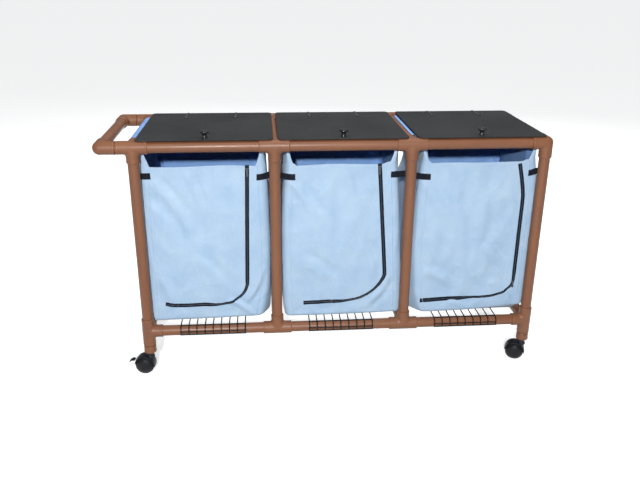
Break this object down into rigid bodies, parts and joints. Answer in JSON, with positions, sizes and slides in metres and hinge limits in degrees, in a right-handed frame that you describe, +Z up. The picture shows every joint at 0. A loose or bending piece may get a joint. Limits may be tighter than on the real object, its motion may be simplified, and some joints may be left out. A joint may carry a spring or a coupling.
{
  "type": "laundry sorter cart",
  "caption": "Wheeled laundry sorter of wood-tone plastic pipe with hanging fabric bags, hinged flat lids, under-bag wire racks and a push handle at one end.",
  "frame": {"origin": "on the floor, under the middle of the cart's bounding box", "axes": "+X along the cart, away from the push handle; +Y towards the lid hinges at the back; +Z up"},
  "size_m": [1.7274, 0.5598, 1.0023],
  "materials": {
    "pipe": "satin wood-tone furniture-grade plastic pipe",
    "lid": "semi-gloss charcoal sheet",
    "bag_fabric": "pale blue coated cloth",
    "webbing": "black woven tape",
    "wire": "black plastic-coated wire",
    "knob": "black moulded",
    "tie": "black nylon",
    "caster_hood": "charcoal moulded",
    "caster_wheel": "dark grey tread",
    "zipper_pull": "dark metal"
  },
  "bodies": {
    "frame": {"top_front_rail": "pipe", "bottom_front_rail": "pipe", "front_leg_1": "pipe", "front_leg_2": "pipe", "front_leg_3": "pipe", "front_leg_4": "pipe", "top_back_rail": "pipe", "bottom_back_rail": "pipe", "back_leg_1": "pipe", "back_leg_2": "pipe", "back_leg_3": "pipe", "back_leg_4": "pipe", "top_cross_pipe_1": "pipe", "top_cross_pipe_2": "pipe", "top_cross_pipe_3": "pipe", "top_cross_pipe_4": "pipe", "bottom_cross_pipe_1": "pipe", "bottom_cross_pipe_2": "pipe", "bottom_cross_pipe_3": "pipe", "bottom_cross_pipe_4": "pipe", "handle_bar": "pipe", "bag_1": "bag_fabric", "wire_rack_1": "wire", "corner_strap_1_left": "webbing", "corner_strap_1_right": "webbing", "bag_2": "bag_fabric", "wire_rack_2": "wire", "corner_strap_2_left": "webbing", "corner_strap_2_right": "webbing", "bag_3": "bag_fabric", "wire_rack_3": "wire", "corner_strap_3_left": "webbing", "corner_strap_3_right": "webbing"},
    "lid_1": {"lid_1": "lid", "lid_knob_1": "knob", "hinge_tie_1_left": "tie", "hinge_tie_1_right": "tie"},
    "lid_2": {"lid_2": "lid", "lid_knob_2": "knob", "hinge_tie_2_left": "tie", "hinge_tie_2_right": "tie"},
    "lid_3": {"lid_3": "lid", "lid_knob_3": "knob", "hinge_tie_3_left": "tie", "hinge_tie_3_right": "tie"},
    "caster_front_left": {"caster_hood_front_left": "caster_hood"},
    "wheels_front_left": {"caster_wheels_front_left": "caster_wheel"},
    "brake_front_left": {"brake_lever_front_left": "caster_hood"},
    "caster_front_right": {"caster_hood_front_right": "caster_hood"},
    "wheels_front_right": {"caster_wheels_front_right": "caster_wheel"},
    "caster_back_left": {"caster_hood_back_left": "caster_hood"},
    "wheels_back_left": {"caster_wheels_back_left": "caster_wheel"},
    "brake_back_left": {"brake_lever_back_left": "caster_hood"},
    "caster_back_right": {"caster_hood_back_right": "caster_hood"},
    "wheels_back_right": {"caster_wheels_back_right": "caster_wheel"},
    "zip_1": {"zipper_pull_1": "zipper_pull"},
    "zip_2": {"zipper_pull_2": "zipper_pull"},
    "zip_3": {"zipper_pull_3": "zipper_pull"}
  },
  "joints": [
    {"name": "lid_1_hinge", "type": "hinge", "parent": "frame", "child": "lid_1", "pos_m": [-0.45845, 0.25, 0.945], "axis": [-1, 0, 0], "range_deg": [0, 105]},
    {"name": "lid_2_hinge", "type": "hinge", "parent": "frame", "child": "lid_2", "pos_m": [0.05815, 0.25, 0.945], "axis": [-1, 0, 0], "range_deg": [0, 105]},
    {"name": "lid_3_hinge", "type": "hinge", "parent": "frame", "child": "lid_3", "pos_m": [0.5873, 0.25, 0.945], "axis": [-1, 0, 0], "range_deg": [0, 105]},
    {"name": "swivel_front_left", "type": "hinge", "parent": "frame", "child": "caster_front_left", "pos_m": [-0.7215, -0.25, 0.0945], "axis": [0, 0, 1], "continuous": true},
    {"name": "wheel_spin_front_left", "type": "hinge", "parent": "caster_front_left", "child": "wheels_front_left", "pos_m": [-0.7464, -0.24782, 0.0375], "axis": [-0.0872, -0.9962, 0], "continuous": true},
    {"name": "brake_front_left", "type": "hinge", "parent": "caster_front_left", "child": "brake_front_left", "pos_m": [-0.78745, -0.24423, 0.05584], "axis": [-0.0872, -0.9962, 0], "range_deg": [0, 20]},
    {"name": "swivel_front_right", "type": "hinge", "parent": "frame", "child": "caster_front_right", "pos_m": [0.8385, -0.25, 0.0945], "axis": [0, 0, 1], "continuous": true},
    {"name": "wheel_spin_front_right", "type": "hinge", "parent": "caster_front_right", "child": "wheels_front_right", "pos_m": [0.81501, -0.24145, 0.0375], "axis": [-0.342, -0.9397, 0], "continuous": true},
    {"name": "swivel_back_left", "type": "hinge", "parent": "frame", "child": "caster_back_left", "pos_m": [-0.7215, 0.25, 0.0945], "axis": [0, 0, 1], "continuous": true},
    {"name": "wheel_spin_back_left", "type": "hinge", "parent": "caster_back_left", "child": "wheels_back_left", "pos_m": [-0.7464, 0.24782, 0.0375], "axis": [0.0872, -0.9962, 0], "continuous": true},
    {"name": "brake_back_left", "type": "hinge", "parent": "caster_back_left", "child": "brake_back_left", "pos_m": [-0.78745, 0.24423, 0.05584], "axis": [0.0872, -0.9962, 0], "range_deg": [0, 20]},
    {"name": "swivel_back_right", "type": "hinge", "parent": "frame", "child": "caster_back_right", "pos_m": [0.8385, 0.25, 0.0945], "axis": [0, 0, 1], "continuous": true},
    {"name": "wheel_spin_back_right", "type": "hinge", "parent": "caster_back_right", "child": "wheels_back_right", "pos_m": [0.81501, 0.24145, 0.0375], "axis": [0.342, -0.9397, 0], "continuous": true},
    {"name": "zip_1_slide", "type": "slide", "parent": "frame", "child": "zip_1", "axis": [0.0272, 0, 0.9996], "range_m": [-0.45, 0]},
    {"name": "zip_2_slide", "type": "slide", "parent": "frame", "child": "zip_2", "axis": [-0.0799, 0, 0.9968], "range_m": [-0.425, 0]},
    {"name": "zip_3_slide", "type": "slide", "parent": "frame", "child": "zip_3", "axis": [0, 0, 1], "range_m": [0, 0.37]}
  ]
}
